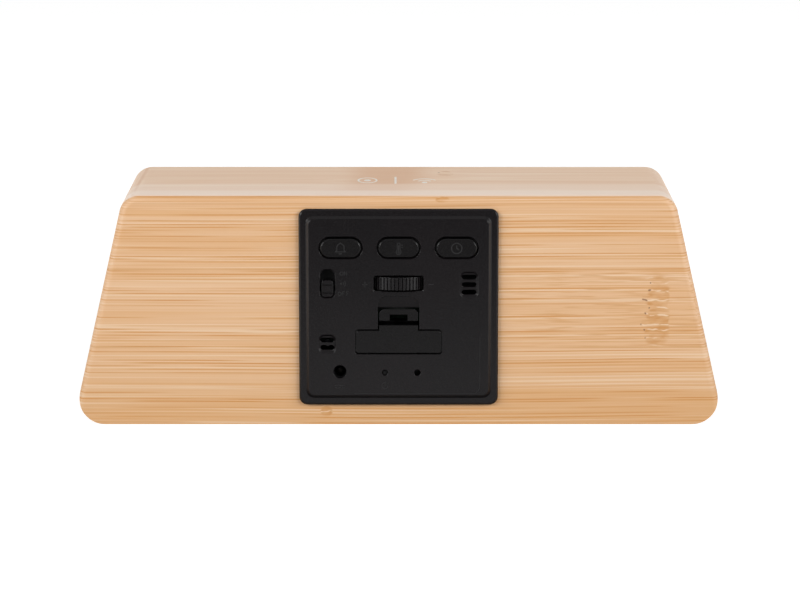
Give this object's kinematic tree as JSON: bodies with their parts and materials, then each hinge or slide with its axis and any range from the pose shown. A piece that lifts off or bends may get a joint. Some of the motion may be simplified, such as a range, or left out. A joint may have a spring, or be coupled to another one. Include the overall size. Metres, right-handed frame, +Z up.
{
  "type": "desk clock",
  "caption": "Bamboo block desk clock with leaning sides, digits lit through a veneer front and a black back cover with push buttons, slide switch, adjusting wheel and hinged battery door.",
  "frame": {"origin": "centre of the flat base that the clock stands on", "axes": "+Z up, the display faces -Y, the back cover faces +Y, +X runs along the clock to the left as seen from behind"},
  "size_m": [0.1998, 0.0695, 0.0693],
  "materials": {
    "bamboo": "sanded and clear satin oiled",
    "veneer": "thin bamboo veneer, satin oiled",
    "black_plastic": "moulded ABS with a fine satin texture",
    "dark_plastic": "moulded component housings",
    "board": "solder-masked glass laminate",
    "frame_white": "white reflector moulding",
    "film": "frosted film",
    "lamp": "white light-emitting chips",
    "ribbon": "flat ribbon",
    "tape": "double-sided tape",
    "steel": "plated steel",
    "copper": "copper foil and plated pin",
    "sensor": "epoxy bead",
    "capsule": "drawn can",
    "rubber": "moulded boot"
  },
  "bodies": {
    "case": {"bamboo_body": "bamboo", "front_veneer": "veneer", "back_cover": "black_plastic", "key_switches": "dark_plastic", "wheel_encoder": "dark_plastic", "inlet_socket": "dark_plastic", "sounder": "dark_plastic", "control_chip": "dark_plastic", "battery_holder": "dark_plastic", "main_board": "board", "display_board": "board", "display_frame": "frame_white", "display_connector": "frame_white", "board_connector": "frame_white", "display_diffuser": "film", "display_lamps": "lamp", "display_ribbon": "ribbon", "cover_tape": "tape", "coin_cell": "steel", "board_screws": "steel", "positive_contact": "steel", "negative_contact": "steel", "quartz_crystal": "steel", "slide_body": "steel", "touch_spring": "steel", "touch_foil": "copper", "inlet_pin": "copper", "temperature_sensor": "sensor", "microphone": "capsule", "microphone_boot": "rubber"},
    "alarm_button": {"alarm_button": "black_plastic", "alarm_plunger": "dark_plastic"},
    "temperature_button": {"temperature_button": "black_plastic", "temperature_plunger": "dark_plastic"},
    "time_button": {"time_button": "black_plastic", "time_plunger": "dark_plastic"},
    "reset_pin": {"reset_pin": "dark_plastic"},
    "slide_knob": {"slide_knob": "black_plastic", "slide_lever": "dark_plastic"},
    "adjust_wheel": {"adjust_wheel": "black_plastic", "wheel_axle": "steel"},
    "battery_door": {"battery_door": "black_plastic"}
  },
  "joints": [
    {"name": "alarm_button_press", "type": "slide", "parent": "case", "child": "alarm_button", "axis": [0, -0.9724, -0.2334], "range_m": [0, 0.0004], "stiffness_N_per_m": 300, "springref_m": -0.002},
    {"name": "temperature_button_press", "type": "slide", "parent": "case", "child": "temperature_button", "axis": [0, -0.9724, -0.2334], "range_m": [0, 0.0004], "stiffness_N_per_m": 300, "springref_m": -0.002},
    {"name": "time_button_press", "type": "slide", "parent": "case", "child": "time_button", "axis": [0, -0.9724, -0.2334], "range_m": [0, 0.0004], "stiffness_N_per_m": 300, "springref_m": -0.002},
    {"name": "reset_pin_press", "type": "slide", "parent": "case", "child": "reset_pin", "axis": [0, -0.9724, -0.2334], "range_m": [0, 0.0004], "stiffness_N_per_m": 300, "springref_m": -0.002},
    {"name": "slide_knob_slide", "type": "slide", "parent": "case", "child": "slide_knob", "axis": [0, -0.2334, 0.9724], "range_m": [0, 0.003]},
    {"name": "adjust_wheel_turn", "type": "hinge", "parent": "case", "child": "adjust_wheel", "pos_m": [0, 0.01971, 0.04203], "axis": [0, -0.2334, 0.9724], "continuous": true},
    {"name": "battery_door_hinge", "type": "hinge", "parent": "case", "child": "battery_door", "pos_m": [0, 0.03175, 0.02275], "axis": [-1, 0, 0], "range_deg": [0, 75]}
  ]
}
